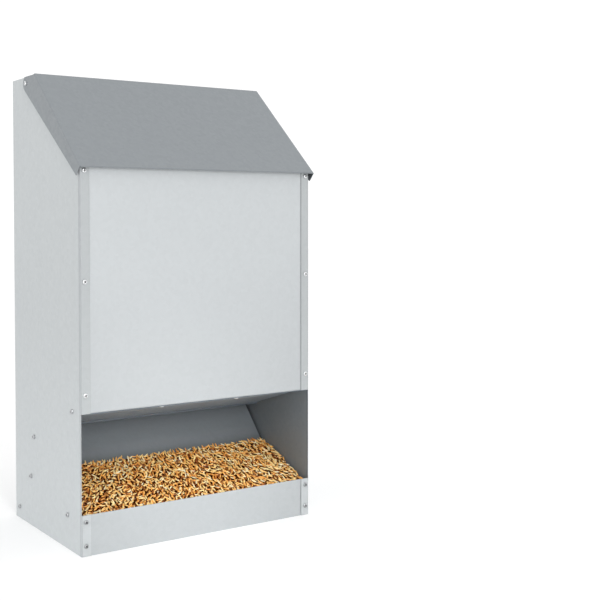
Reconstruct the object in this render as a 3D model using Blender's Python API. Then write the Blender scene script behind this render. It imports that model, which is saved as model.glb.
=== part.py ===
"""Gravity poultry feeder: a folded sheet-metal hopper with an open trough and a hinged lid.

Metres, +Z up. The origin is the middle of the footprint, on the floor. The feeder faces -Y.
In the code a depth is measured back from the front face of the body and a height up from the floor.
"""
import math

import bmesh
import bpy
from mathutils import Vector

# Driving dimensions of the body
WIDTH = 0.400
DEPTH = 0.270
LID_TOP = 0.7132
RIDGE_DEPTH = 0.163
LID_FRONT = (-0.0105, 0.5630)
SHEET = 0.0008
GAP = 0.0003
BEND = 0.0010
FLANGE = 0.015

# Heights of the front: the lip, the feeding window and the panel above it
LIP_TOP = 0.060
WINDOW_TOP = 0.207
FRONT_PANEL_TOP = 0.5675
FRONT_FLANGE_TOP = 0.5680

# Inner plates: a height at one depth and the rise for each metre of depth
FLOOR_AT = (0.0505, 0.0438)
FLOOR_RISE = 0.19
BAFFLE_AT = (0.1634, 0.1278)
BAFFLE_RISE = 1.045
THROAT_START = 0.020
THROAT_END = (0.1555, 0.1645)
THROAT_LIP = 0.0025
FEED_FRONT = (0.009, 0.0575)
FEED_BACK = 0.1398
FEED_CLEAR = 0.0005

# Folds and tabs: how far each one stands up or down, and the depths a side tab runs between
FRONT_PANEL_TOP_FOLD = 0.016
FRONT_PANEL_BOTTOM_FOLD = 0.020
FLANGE_TRIM = 0.0005
LIP_HEM = 0.004
THROAT_TAB = (0.024, 0.148)
THROAT_TAB_RISE = 0.013
BAFFLE_TOE = 0.010
BAFFLE_HEEL = 0.018
BAFFLE_TAB = (0.140, 0.255)
BAFFLE_TAB_DROP = 0.020
FLOOR_BACK = 0.2665
FLOOR_FRONT_TOP = LIP_TOP - 0.0045
FLOOR_HEEL = 0.012
FLOOR_TABS = ((0.010, 0.076), (0.130, 0.255))
FLOOR_TAB_RISE = 0.014
BASE_RISE = 0.025
BASE_TAB = (0.010, 0.262)
BASE_TAB_TOP = 0.028
COVER_FOOT = 0.700
HINGE_TAB_HALF = 0.018
HINGE_TAB_FOOT = 0.688

# Lid and its hinge
HINGE = (0.1985, 0.7012)
LID_HALF_WIDTH = 0.204
LID_TIP = (0.0025, 0.5503)
EAR_RADIUS = 0.0122
EAR_TOP = 0.7118
FLANGE_LINE_ANGLE = math.radians(34.4)
LID_REAR_LIP = 0.170
LID_HEM = 0.006
LID_INSET = 0.202
LID_LEG = 0.060
LID_BEHIND_RIDGE = 0.045
LID_NOTCH = (0.0012, 0.0015)
LID_EDGE = 0.0005
EAR_STEPS = 10

# Fasteners
SHANK_RADIUS = 0.0018
HOLE_RADIUS = 0.0021
LID_HOLE_RADIUS = 0.0022
THROAT_HOLE_RADIUS = 0.0027
HEAD_RADIUS = 0.0035
HEAD_HEIGHT = 0.0024
NUT_ACROSS = 0.0064
NUT_HEIGHT = 0.0030
SPACER_RADIUS = 0.0046
SCREW_TAIL = 0.0012
SCREW_SEGMENTS = 12
HOLE_SEGMENTS = 16
BEND_SEGMENTS = 3
HEM_SEGMENTS = 6
SHARP_ANGLE = math.radians(35)

EDGE_INSET = 0.007
THROAT_SCREW_X = 0.066
THROAT_SCREW_DEPTH = 0.009
SIDE_TIP = 0.0072
BACK_TIP = 0.0080
PANEL_SCREW_HEIGHTS = {"top": 0.558, "middle": 0.398, "bottom": 0.234}
LIP_SCREW_HEIGHTS = {"upper": 0.050, "lower": 0.0152}
BACK_SCREW_HEIGHTS = {"top": 0.660, "middle": 0.360, "bottom": 0.060}
SIDE_SCREWS = {
    "throat_side": (0.0319, 0.2070),
    "baffle_side": (0.1852, 0.1440),
    "floor_rear": (0.1990, 0.0791),
    "floor_front": (0.0505, 0.0508),
    "base_side": (0.2503, 0.0186),
}

# Places that follow from the driving dimensions
HALF = WIDTH / 2
INNER = HALF - SHEET
PANEL_HALF = HALF - 0.002
TAB_INNER = PANEL_HALF - SHEET
PANEL_FACE = SHEET + GAP
PANEL_BACK = PANEL_FACE + SHEET
SECOND_FACE = PANEL_BACK + GAP
REAR_FACE = DEPTH - PANEL_FACE
REAR_INNER = REAR_FACE - SHEET
COVER_TOP = LID_TOP - SHEET - GAP
COVER_FRONT = RIDGE_DEPTH + 0.002
SCREW_X = HALF - EDGE_INSET
SLOPE = math.atan2(LID_TOP - LID_FRONT[1], RIDGE_DEPTH - LID_FRONT[0])
SLOPE_LENGTH = math.hypot(LID_TOP - LID_FRONT[1], RIDGE_DEPTH - LID_FRONT[0])

# How far a cutting tool runs on past the sheet it cuts
CUT = 0.01
BIG_CUT = 0.03

AXIS_X = Vector((1, 0, 0))
AXIS_Y = Vector((0, 1, 0))
AXIS_Z = Vector((0, 0, 1))
SLOPE_NORMAL = Vector((0, -math.sin(SLOPE), math.cos(SLOPE)))
DOWN_SLOPE = Vector((0, -math.cos(SLOPE), -math.sin(SLOPE)))

GALVANISED = ((0.60, 0.63, 0.64, 1), 0.55, 0.42)
COLOURS = {
    "galvanised": GALVANISED,
    "lid_grey": ((0.30, 0.33, 0.36, 1), 0.40, 0.48),
    "inner_sheet": ((0.42, 0.46, 0.48, 1), 0.60, 0.45),
    "zinc": ((0.72, 0.73, 0.74, 1), 1.00, 0.25),
    "dark_zinc": ((0.42, 0.43, 0.44, 1), 1.00, 0.35),
    "nylon": ((0.75, 0.75, 0.72, 1), 0.00, 0.55),
    "feed": ((0.62, 0.42, 0.16, 1), 0.00, 0.85),
}


def at(depth, height):
    """A point of the Y-Z plane from a depth behind the front face and a height."""
    return (depth - DEPTH / 2, height)


def floor_height(depth):
    """Height of the trough floor's upper face."""
    return FLOOR_AT[1] + FLOOR_RISE * (depth - FLOOR_AT[0])


def baffle_height(depth):
    """Height of the baffle's upper face."""
    return BAFFLE_AT[1] + BAFFLE_RISE * (depth - BAFFLE_AT[0])


def throat_height(depth):
    """Height of the throat plate's lower face, behind its level front flange."""
    start = WINDOW_TOP - GAP - SHEET
    rise = (THROAT_END[1] - start) / (THROAT_END[0] - THROAT_START)
    return start + rise * (depth - THROAT_START)


def on_slope(down, lift):
    """Depth and height of a point down the lid's slope from the ridge, lifted off its top face."""
    depth = RIDGE_DEPTH - down * math.cos(SLOPE) - lift * math.sin(SLOPE)
    return (depth, LID_TOP - down * math.sin(SLOPE) + lift * math.cos(SLOPE))


def clear_scene():
    """Remove whatever the scene holds at the start."""
    for item in list(bpy.data.objects):
        bpy.data.objects.remove(item, do_unlink=True)


def finish(name, kind):
    """A Principled material of its own for one sub-part."""
    colour, metallic, roughness = COLOURS[kind]
    made = bpy.data.materials.new(name)
    made.use_nodes = True
    shader = made.node_tree.nodes["Principled BSDF"]
    shader.inputs["Base Color"].default_value = colour
    shader.inputs["Metallic"].default_value = metallic
    shader.inputs["Roughness"].default_value = roughness
    made.diffuse_color = colour
    return made


def add_object(name, mesh, kind=None):
    """Put a mesh in the scene, with its finish where it is a sub-part."""
    item = bpy.data.objects.new(name, mesh)
    bpy.context.scene.collection.objects.link(item)
    if kind:
        mesh.materials.clear()
        mesh.materials.append(finish(name, kind))
        mesh.shade_smooth()
        mesh.set_sharp_from_angle(angle=SHARP_ANGLE)
    return item


def mesh_from(shape, name):
    """Turn a bmesh into a mesh with its faces pointing out."""
    bmesh.ops.recalc_face_normals(shape, faces=shape.faces)
    mesh = bpy.data.meshes.new(name)
    shape.to_mesh(mesh)
    shape.free()
    return mesh


def extrude(outline, across, up, along, start, end):
    """A prism: an outline in the across-up plane, drawn out along a third direction."""
    shape = bmesh.new()
    flat = [across * a + up * b for a, b in outline]
    near = [shape.verts.new(point + along * start) for point in flat]
    far = [shape.verts.new(point + along * end) for point in flat]
    shape.faces.new(near)
    shape.faces.new(far)
    for index in range(len(flat)):
        following = (index + 1) % len(flat)
        shape.faces.new((near[index], near[following], far[following], far[index]))
    return add_object("working", mesh_from(shape, "working"))


def across_width(outline, start, end):
    """A prism along X from an outline of depths and heights."""
    return extrude([at(*point) for point in outline], AXIS_Y, AXIS_Z, AXIS_X, start, end)


def block(low, high):
    """A box between two corners, given as (x, depth, height)."""
    outline = [(low[1], low[2]), (high[1], low[2]), (high[1], high[2]), (low[1], high[2])]
    return across_width(outline, low[0], high[0])


def folded_sheet(path, side=1, radius=BEND):
    """Outline of a folded sheet: one face follows path, the other lies to its left or right."""
    points = [Vector(point) for point in path]
    ways = [(b - a).normalized() for a, b in zip(points, points[1:])]
    face = [points[0]]
    other = [points[0] + Vector((-ways[0].y, ways[0].x)) * side * SHEET]
    for corner, before, after in zip(points[1:-1], ways, ways[1:]):
        turn = math.atan2(before.x * after.y - before.y * after.x, before.dot(after))
        hand = math.copysign(1, turn)
        face_radius = radius + SHEET if hand == side else radius
        other_radius = radius if hand == side else radius + SHEET
        inward = Vector((-before.y, before.x)) * hand
        centre = corner - before * face_radius * math.tan(abs(turn) / 2) + inward * face_radius
        for step in range(BEND_SEGMENTS + 1):
            swing = turn * step / BEND_SEGMENTS
            spoke = -inward
            spoke = Vector((spoke.x * math.cos(swing) - spoke.y * math.sin(swing),
                            spoke.x * math.sin(swing) + spoke.y * math.cos(swing)))
            face.append(centre + spoke * face_radius)
            other.append(centre + spoke * other_radius)
    face.append(points[-1])
    other.append(points[-1] + Vector((-ways[-1].y, ways[-1].x)) * side * SHEET)
    return [tuple(point) for point in face + other[::-1]]


def combine(body, tool, operation):
    """Apply one Boolean of the tool to the body and take the tool away."""
    step = body.modifiers.new("cut", "BOOLEAN")
    step.operation = operation
    step.solver = "EXACT"
    step.object = tool
    bpy.context.view_layer.update()
    graph = bpy.context.evaluated_depsgraph_get()
    result = bpy.data.meshes.new_from_object(body.evaluated_get(graph))
    body.modifiers.clear()
    body.data = result
    bpy.data.objects.remove(tool, do_unlink=True)
    return body


def joined(*pieces):
    """Weld several overlapping solids into the first one."""
    body = pieces[0]
    for piece in pieces[1:]:
        combine(body, piece, "UNION")
    return body


def drill(body, holes):
    """Cut round holes; each is (start, end, radius), with its ends as (x, depth, height)."""
    shape = bmesh.new()
    for start, end, radius in holes:
        low = Vector((start[0], *at(start[1], start[2])))
        high = Vector((end[0], *at(end[1], end[2])))
        turn = (high - low).to_track_quat("Z", "Y")
        rings = []
        for centre in (low, high):
            ring = []
            for step in range(HOLE_SEGMENTS):
                angle = math.tau * (step + 0.5) / HOLE_SEGMENTS
                spoke = Vector((math.cos(angle), math.sin(angle), 0)) * radius
                ring.append(shape.verts.new(centre + turn @ spoke))
            rings.append(ring)
        shape.faces.new(rings[0][::-1])
        shape.faces.new(rings[1])
        for step in range(HOLE_SEGMENTS):
            after = (step + 1) % HOLE_SEGMENTS
            shape.faces.new((rings[0][step], rings[0][after], rings[1][after], rings[1][step]))
    cutter = add_object("working", mesh_from(shape, "working"))
    return combine(body, cutter, "DIFFERENCE")


def name_part(body, name, kind, mirrored=False):
    """Give a finished solid its name and finish; mirrored flips it to the other side."""
    mesh = body.data
    bpy.data.objects.remove(body, do_unlink=True)
    if mirrored:
        shape = bmesh.new()
        shape.from_mesh(mesh)
        bmesh.ops.scale(shape, vec=(-1, 1, 1), verts=shape.verts)
        bmesh.ops.reverse_faces(shape, faces=shape.faces)
        shape.to_mesh(mesh)
        shape.free()
    mesh.name = name
    return add_object(name, mesh, kind)


def across_holes(places, low=None, high=None, radius=HOLE_RADIUS):
    """Holes along X through one side, or through both where low and high are left out."""
    low = -HALF - CUT if low is None else low
    high = HALF + CUT if high is None else high
    return [((low, *place), (high, *place), radius) for place in places]


def depth_holes(heights, front=-CUT, back=CUT):
    """Holes along Y near both side edges at the given heights, through the front by default."""
    holes = []
    for x in (-SCREW_X, SCREW_X):
        holes += [((x, front, height), (x, back, height), HOLE_RADIUS) for height in heights]
    return holes


def tab_strip(start, end, top, bottom):
    """A tab down each side edge between two depths; top and bottom give its height at a depth."""
    outline = [(start, bottom(start)), (end, bottom(end)), (end, top(end)), (start, top(start))]
    return (across_width(outline, -PANEL_HALF, -TAB_INNER), across_width(outline, TAB_INNER, PANEL_HALF))


def throat_holes(radius):
    """The two upright holes that bolt the throat plate to the front panel's bottom fold."""
    return [((x, THROAT_SCREW_DEPTH, WINDOW_TOP - CUT), (x, THROAT_SCREW_DEPTH, WINDOW_TOP + CUT), radius)
            for x in (-THROAT_SCREW_X, THROAT_SCREW_X)]


def side_panel(name, mirrored):
    """One side wall: full-height rear flange, front flanges above and below the window."""
    outer = -HALF
    path = [(outer + FLANGE, -DEPTH / 2), (outer, -DEPTH / 2), (outer, DEPTH / 2),
            (outer + FLANGE, DEPTH / 2)]
    wall = extrude(folded_sheet(path, side=-1), AXIS_X, AXIS_Y, AXIS_Z, 0, COVER_TOP)
    under_lid = -(SHEET + GAP)
    ridge = (RIDGE_DEPTH + (COVER_TOP - on_slope(0, under_lid)[1]) / math.tan(SLOPE)
             - under_lid * math.sin(SLOPE), COVER_TOP)
    low = on_slope(SLOPE_LENGTH + BIG_CUT, under_lid)
    above = [ridge, (ridge[0], COVER_TOP + CUT), (low[0], COVER_TOP + CUT), low]
    combine(wall, across_width(above, outer - CUT, outer + BIG_CUT), "DIFFERENCE")
    trims = [block((outer - CUT, -CUT, FRONT_FLANGE_TOP), (outer + BIG_CUT, SHEET + FLANGE_TRIM, LID_TOP)),
             block((-INNER, -CUT, LIP_TOP), (outer + BIG_CUT, FLANGE, WINDOW_TOP)),
             block((outer - CUT, -CUT, LIP_TOP), (outer + BIG_CUT, SHEET, WINDOW_TOP))]
    for trim in trims:
        combine(wall, trim, "DIFFERENCE")
    holes = across_holes(list(SIDE_SCREWS.values()) + [HINGE], high=outer + CUT)
    holes += depth_holes([*PANEL_SCREW_HEIGHTS.values(), *LIP_SCREW_HEIGHTS.values()])
    holes += depth_holes(BACK_SCREW_HEIGHTS.values(), DEPTH - CUT, DEPTH + CUT)
    drill(wall, holes)
    name_part(wall, name, "galvanised", mirrored)


def front_panel():
    """The panel above the window, folded back along its top and bottom edges."""
    path = [(FRONT_PANEL_TOP_FOLD, FRONT_PANEL_TOP), (PANEL_FACE, FRONT_PANEL_TOP),
            (PANEL_FACE, WINDOW_TOP), (FRONT_PANEL_BOTTOM_FOLD, WINDOW_TOP)]
    panel = across_width(folded_sheet(path), -PANEL_HALF, PANEL_HALF)
    holes = depth_holes(PANEL_SCREW_HEIGHTS.values()) + throat_holes(HOLE_RADIUS)
    name_part(drill(panel, holes), "front_panel", "galvanised")


def throat_plate():
    """The front half of the hopper floor: it guides the feed back to the gap above the baffle."""
    front = WINDOW_TOP - GAP - SHEET
    path = [(SECOND_FACE, front), (THROAT_START, front), THROAT_END,
            (THROAT_END[0], THROAT_END[1] - THROAT_LIP)]
    plate = across_width(folded_sheet(path, radius=BEND / 2), -PANEL_HALF, PANEL_HALF)
    joined(plate, *tab_strip(*THROAT_TAB, lambda depth: throat_height(depth) + THROAT_TAB_RISE,
                             lambda depth: throat_height(depth) + SHEET / 2))
    holes = across_holes([SIDE_SCREWS["throat_side"]], radius=THROAT_HOLE_RADIUS)
    holes += throat_holes(THROAT_HOLE_RADIUS)
    name_part(drill(plate, holes), "throat_plate", "inner_sheet")


def baffle_foot():
    """Where the baffle's slope meets its foot, which lies on the trough floor."""
    lift = GAP + SHEET * 1.1
    depth = ((FLOOR_AT[1] + lift - FLOOR_RISE * FLOOR_AT[0]) - (BAFFLE_AT[1] - BAFFLE_RISE * BAFFLE_AT[0])) \
        / (BAFFLE_RISE - FLOOR_RISE)
    return (depth, baffle_height(depth), lift)


def feed_baffle():
    """The back half of the hopper floor: it slopes down to the front and lands on the trough floor."""
    depth, height, lift = baffle_foot()
    toe = depth - BAFFLE_TOE
    heel = REAR_INNER - GAP - SHEET
    path = [(toe, floor_height(toe) + lift), (depth, height), (heel, baffle_height(heel)),
            (heel, baffle_height(heel) + BAFFLE_HEEL)]
    plate = across_width(folded_sheet(path, side=-1), -PANEL_HALF, PANEL_HALF)
    joined(plate, *tab_strip(*BAFFLE_TAB, lambda depth: baffle_height(depth) - SHEET / 2,
                             lambda depth: baffle_height(depth) - BAFFLE_TAB_DROP))
    name_part(drill(plate, across_holes([SIDE_SCREWS["baffle_side"]])), "feed_baffle", "inner_sheet")


def trough_floor():
    """The sloping bottom of the trough, folded up behind the lip and carried by side tabs."""
    front, back = SECOND_FACE, FLOOR_BACK
    under = -SHEET / math.cos(math.atan(FLOOR_RISE))
    path = [(front, FLOOR_FRONT_TOP), (front, floor_height(front) + under),
            (back, floor_height(back) + under), (back, floor_height(back) - FLOOR_HEEL)]
    plate = across_width(folded_sheet(path), -PANEL_HALF, PANEL_HALF)
    for span in FLOOR_TABS:
        joined(plate, *tab_strip(*span, lambda depth: floor_height(depth) + FLOOR_TAB_RISE,
                                 lambda depth: floor_height(depth) - SHEET / 2))
    holes = across_holes([SIDE_SCREWS["floor_rear"], SIDE_SCREWS["floor_front"]])
    holes += depth_holes([LIP_SCREW_HEIGHTS["upper"]])
    name_part(drill(plate, holes), "trough_floor", "inner_sheet")


def trough_lip():
    """The low front wall of the trough, with its top edge hemmed to the inside."""
    outline = [(PANEL_FACE, 0)]
    for step in range(HEM_SEGMENTS + 1):
        angle = math.pi * (1 - step / HEM_SEGMENTS)
        outline.append((PANEL_BACK + SHEET * math.cos(angle), LIP_TOP + SHEET * (math.sin(angle) - 1)))
    foot = LIP_TOP - LIP_HEM
    outline += [(PANEL_BACK + SHEET, foot), (PANEL_BACK, foot), (PANEL_BACK, 0)]
    lip = across_width(outline, -PANEL_HALF, PANEL_HALF)
    name_part(drill(lip, depth_holes(LIP_SCREW_HEIGHTS.values())), "trough_lip", "galvanised")


def base_panel():
    """The flat bottom, folded up along all four edges."""
    front, back = SECOND_FACE, REAR_INNER - GAP
    tray = across_width(folded_sheet([(front, BASE_RISE), (front, 0), (back, 0), (back, BASE_RISE)]),
                        -PANEL_HALF, PANEL_HALF)
    joined(tray, *tab_strip(*BASE_TAB, lambda depth: BASE_TAB_TOP, lambda depth: SHEET / 2))
    holes = across_holes([SIDE_SCREWS["base_side"]])
    holes += depth_holes([LIP_SCREW_HEIGHTS["lower"]])
    name_part(drill(tray, holes), "base_panel", "galvanised")


def back_panel():
    """The rear wall and the fixed rear part of the top, in one folded sheet with two hinge tabs."""
    path = [(REAR_FACE, 0), (REAR_FACE, COVER_TOP), (COVER_FRONT, COVER_TOP), (COVER_FRONT, COVER_FOOT)]
    sheet = across_width(folded_sheet(path), -PANEL_HALF, PANEL_HALF)
    joined(sheet, *tab_strip(HINGE[0] - HINGE_TAB_HALF, HINGE[0] + HINGE_TAB_HALF,
                             lambda depth: COVER_TOP - SHEET / 2, lambda depth: HINGE_TAB_FOOT))
    holes = across_holes([HINGE])
    holes += depth_holes(BACK_SCREW_HEIGHTS.values(), DEPTH - CUT, DEPTH + CUT)
    name_part(drill(sheet, holes), "back_panel", "galvanised")


def lid_outline():
    """Side view of the lid: the slope on top, the flange's straight lower edge, and the round ear."""
    normal = FLANGE_LINE_ANGLE - math.pi / 2
    outline = [on_slope(SLOPE_LENGTH + LID_EDGE, 0), LID_TIP]
    last = math.asin((EAR_TOP - HINGE[1]) / EAR_RADIUS)
    for step in range(EAR_STEPS + 1):
        angle = normal + (last - normal) * step / EAR_STEPS
        outline.append((HINGE[0] + EAR_RADIUS * math.cos(angle), HINGE[1] + EAR_RADIUS * math.sin(angle)))
    across, down = LID_NOTCH
    notch = RIDGE_DEPTH + SHEET * 0.6
    outline += [(notch + across, EAR_TOP), (notch, EAR_TOP - down), (notch, LID_TOP),
                (RIDGE_DEPTH - SHEET / 4, LID_TOP), on_slope(SLOPE_LENGTH + LID_EDGE, SHEET / 4)]
    return outline


def lid():
    """The sloping lid with a flange down each side, turning on two screws behind the ridge."""
    half, leg = LID_HALF_WIDTH, LID_LEG
    channel = folded_sheet([(-half, -leg), (-half, 0), (half, 0), (half, -leg)], side=-1)
    cover = extrude(channel, AXIS_X, SLOPE_NORMAL, DOWN_SLOPE, -LID_BEHIND_RIDGE, SLOPE_LENGTH - SHEET)
    shift = Vector((0, *at(RIDGE_DEPTH, LID_TOP)))
    for vertex in cover.data.vertices:
        vertex.co += shift
    combine(cover, across_width(lid_outline(), -half - CUT, half + CUT), "INTERSECT")
    hem = [on_slope(SLOPE_LENGTH - LID_HEM, -SHEET / 2), on_slope(SLOPE_LENGTH - 1.5 * SHEET, -SHEET / 2)]
    for degrees in range(60, -91, -30):
        angle = math.radians(degrees)
        hem.append(on_slope(SLOPE_LENGTH + SHEET * (math.cos(angle) - 1), SHEET * (math.sin(angle) - 1)))
    hem.append(on_slope(SLOPE_LENGTH - LID_HEM, -2 * SHEET))
    under = LID_TOP - SHEET
    lip = [on_slope(0.001, -SHEET / 2), (RIDGE_DEPTH + 0.001, under), (LID_REAR_LIP, under),
           (LID_REAR_LIP, LID_TOP), (RIDGE_DEPTH + SHEET * 0.3, LID_TOP)]
    joined(cover, across_width(hem, -LID_INSET, LID_INSET), across_width(lip, -LID_INSET, LID_INSET))
    drill(cover, across_holes([HINGE], radius=LID_HOLE_RADIUS))
    made = name_part(cover, "lid", "lid_grey")
    pivot = Vector((0, *at(*HINGE)))
    for vertex in made.data.vertices:
        vertex.co -= pivot
    made.location = pivot


def feed_grain():
    """The feed that fills the trough: a wedge on the trough floor, against the baffle."""
    depth, height, lift = baffle_foot()
    clear = FEED_CLEAR
    toe = depth - BAFFLE_TOE - 2 * clear
    outline = [FEED_FRONT, (FEED_FRONT[0], floor_height(FEED_FRONT[0]) + clear),
               (toe, floor_height(toe) + clear), (toe, floor_height(toe) + lift + clear),
               (depth, height + clear), (FEED_BACK, baffle_height(FEED_BACK) + clear * 1.5)]
    edge = HALF - SIDE_TIP - SHEET
    name_part(across_width(outline, -edge, edge), "feed_grain", "feed")


def turned(profile, segments=SCREW_SEGMENTS):
    """A solid of revolution about Z; the profile runs bottom to top, from axis to axis."""
    shape = bmesh.new()
    rings = []
    for radius, height in profile:
        if radius == 0:
            rings.append([shape.verts.new((0, 0, height))])
            continue
        ring = []
        for step in range(segments):
            angle = math.tau * step / segments
            ring.append(shape.verts.new((radius * math.cos(angle), radius * math.sin(angle), height)))
        rings.append(ring)
    for lower, upper in zip(rings, rings[1:]):
        for step in range(segments):
            after = (step + 1) % segments
            corners = [lower[step % len(lower)], lower[after % len(lower)],
                       upper[after % len(upper)], upper[step % len(upper)]]
            shape.faces.new(list(dict.fromkeys(corners)))
    return mesh_from(shape, "turned")


def ringed(outer, inner, height, sides):
    """A nut or a spacer: a tube with a round bore and an outer face of the given number of sides."""
    shape = bmesh.new()
    bands = []
    for radius, level in ((outer, 0), (outer, height), (inner, height), (inner, 0)):
        band = []
        for step in range(SCREW_SEGMENTS):
            angle = math.tau * step / SCREW_SEGMENTS
            reach = radius
            if radius == outer and sides < SCREW_SEGMENTS:
                half = math.pi / sides
                reach = radius * math.cos(half) / math.cos((angle + half) % (2 * half) - half)
            band.append(shape.verts.new((reach * math.cos(angle), reach * math.sin(angle), level)))
        bands.append(band)
    for first, second in zip(bands, bands[1:] + bands[:1]):
        for step in range(SCREW_SEGMENTS):
            after = (step + 1) % SCREW_SEGMENTS
            shape.faces.new((first[step], first[after], second[after], second[step]))
    return mesh_from(shape, "ringed")


def screw_mesh(length):
    """A pan-head screw: the head stands on +Z above the sheet, and the shank goes down."""
    return turned([(0, -length), (SHANK_RADIUS * 0.6, -length), (SHANK_RADIUS, -length + 0.001),
                   (SHANK_RADIUS, GAP), (HEAD_RADIUS, GAP), (HEAD_RADIUS * 0.96, GAP + HEAD_HEIGHT * 0.45),
                   (HEAD_RADIUS * 0.66, GAP + HEAD_HEIGHT * 0.88), (0, GAP + HEAD_HEIGHT)])


def nut_mesh():
    """A hexagon nut that lies below its sheet, with its flats at +X and -X."""
    return ringed(NUT_ACROSS / 2 / math.cos(math.pi / 6), HOLE_RADIUS, -NUT_HEIGHT, 6)


def place(name, mesh, kind, place_at, outward):
    """Put a fastener's copy at (x, depth, height), with its head side facing outward."""
    item = add_object(name, mesh.copy(), kind)
    item.location = (place_at[0], *at(place_at[1], place_at[2]))
    item.rotation_euler = outward
    return item


FACING_FRONT = (math.pi / 2, 0, 0)
FACING_BACK = (-math.pi / 2, 0, 0)
FACING_LEFT = (0, -math.pi / 2, 0)
FACING_RIGHT = (0, math.pi / 2, 0)
FACING_DOWN = (math.pi, 0, 0)
SIDES = (("left", -1, FACING_LEFT), ("right", 1, FACING_RIGHT))


def front_fasteners():
    """Screws and nuts along both front flanges: three a side in the panel, two a side in the lip."""
    nut = nut_mesh()
    panel_screw = screw_mesh(PANEL_BACK + GAP + NUT_HEIGHT + SCREW_TAIL)
    lip_stack = SECOND_FACE + SHEET
    lip_screw = screw_mesh(lip_stack + GAP + NUT_HEIGHT + SCREW_TAIL)
    for side, sign, _ in SIDES:
        x = sign * SCREW_X
        for level, height in PANEL_SCREW_HEIGHTS.items():
            place(f"panel_screw_{side}_{level}", panel_screw, "zinc", (x, 0, height), FACING_FRONT)
            place(f"panel_nut_{side}_{level}", nut, "zinc", (x, PANEL_BACK + GAP, height), FACING_FRONT)
        for level, height in LIP_SCREW_HEIGHTS.items():
            place(f"lip_screw_{side}_{level}", lip_screw, "dark_zinc", (x, 0, height), FACING_FRONT)
            place(f"lip_nut_{side}_{level}", nut, "zinc", (x, lip_stack + GAP, height), FACING_FRONT)


def side_and_back_fasteners():
    """Sheet-metal screws that hold the inner plates to the sides, and the back to its flanges."""
    side_screw = screw_mesh(SIDE_TIP)
    back_screw = screw_mesh(BACK_TIP)
    for side, sign, outward in SIDES:
        for label, (depth, height) in SIDE_SCREWS.items():
            place(f"{label}_screw_{side}", side_screw, "dark_zinc", (sign * HALF, depth, height), outward)
        for level, height in BACK_SCREW_HEIGHTS.items():
            place(f"back_screw_{side}_{level}", back_screw, "zinc", (sign * SCREW_X, DEPTH, height),
                  FACING_BACK)


def throat_fasteners():
    """Two screws up through the throat plate into nuts on the front panel's bottom flange."""
    under = WINDOW_TOP - GAP - SHEET
    top = WINDOW_TOP + SHEET + GAP
    screw = screw_mesh(top - under + NUT_HEIGHT + SCREW_TAIL)
    nut = nut_mesh()
    for side, sign, _ in SIDES:
        x = sign * THROAT_SCREW_X
        place(f"throat_screw_{side}", screw, "zinc", (x, THROAT_SCREW_DEPTH, under), FACING_DOWN)
        place(f"throat_nut_{side}", nut, "zinc", (x, THROAT_SCREW_DEPTH, top), FACING_DOWN)


def hinge_fasteners():
    """The lid's pivots: a screw, a nylon spacer outside the wall and a nut inside on each side."""
    tab_face = TAB_INNER - GAP
    screw = screw_mesh(LID_HALF_WIDTH - tab_face + NUT_HEIGHT + SCREW_TAIL)
    nut = nut_mesh()
    spacer = ringed(SPACER_RADIUS, HOLE_RADIUS, LID_HALF_WIDTH - SHEET - HALF - 2 * GAP, SCREW_SEGMENTS)
    for side, sign, outward in SIDES:
        place(f"hinge_screw_{side}", screw, "zinc", (sign * LID_HALF_WIDTH, *HINGE), outward)
        place(f"hinge_spacer_{side}", spacer, "nylon", (sign * (HALF + GAP), *HINGE), outward)
        place(f"hinge_nut_{side}", nut, "zinc", (sign * tab_face, *HINGE), outward)


def build():
    """Make every sub-part of the feeder."""
    clear_scene()
    side_panel("left_side_panel", False)
    side_panel("right_side_panel", True)
    front_panel()
    back_panel()
    throat_plate()
    feed_baffle()
    trough_floor()
    trough_lip()
    base_panel()
    feed_grain()
    lid()
    front_fasteners()
    side_and_back_fasteners()
    throat_fasteners()
    hinge_fasteners()


build()
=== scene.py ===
"""Gravity poultry feeder: the look of the sheet metal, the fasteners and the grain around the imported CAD."""
import math
import random

import bmesh
import bpy
from mathutils import Matrix, Vector


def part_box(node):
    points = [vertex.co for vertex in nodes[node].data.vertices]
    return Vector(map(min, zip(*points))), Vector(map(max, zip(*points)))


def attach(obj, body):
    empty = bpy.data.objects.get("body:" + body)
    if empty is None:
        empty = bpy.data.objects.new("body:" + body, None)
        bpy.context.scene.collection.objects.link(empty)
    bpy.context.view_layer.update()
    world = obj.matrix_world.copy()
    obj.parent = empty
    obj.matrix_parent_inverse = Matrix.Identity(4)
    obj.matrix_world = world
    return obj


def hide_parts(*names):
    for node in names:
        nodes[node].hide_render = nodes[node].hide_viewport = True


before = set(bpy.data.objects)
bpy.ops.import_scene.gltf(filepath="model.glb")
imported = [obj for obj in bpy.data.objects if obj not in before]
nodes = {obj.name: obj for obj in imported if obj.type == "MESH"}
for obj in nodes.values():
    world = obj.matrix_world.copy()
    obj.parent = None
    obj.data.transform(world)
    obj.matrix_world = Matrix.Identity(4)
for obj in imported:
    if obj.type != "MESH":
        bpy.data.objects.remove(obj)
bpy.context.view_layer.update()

SEED = 41
# A place on any axis that is well past the object
FAR = 1.0

rng = random.Random(SEED)
# The side walls' outer face and front edge
BODY_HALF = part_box("right_side_panel")[1].x
BODY_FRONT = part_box("right_side_panel")[0].y


# ---------------------------------------------------------------- shader helpers
def new_material(name):
    """A material, its Principled shader, a function that adds nodes to it and one that links them."""
    made = bpy.data.materials.new(name)
    made.use_nodes = True
    tree = made.node_tree
    shader = tree.nodes["Principled BSDF"]

    def add(kind, **settings):
        node = tree.nodes.new(kind)
        for key, value in settings.items():
            if key in node.inputs:
                node.inputs[key].default_value = value
            else:
                setattr(node, key, value)
        return node
    return made, shader, add, tree.links.new


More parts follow.
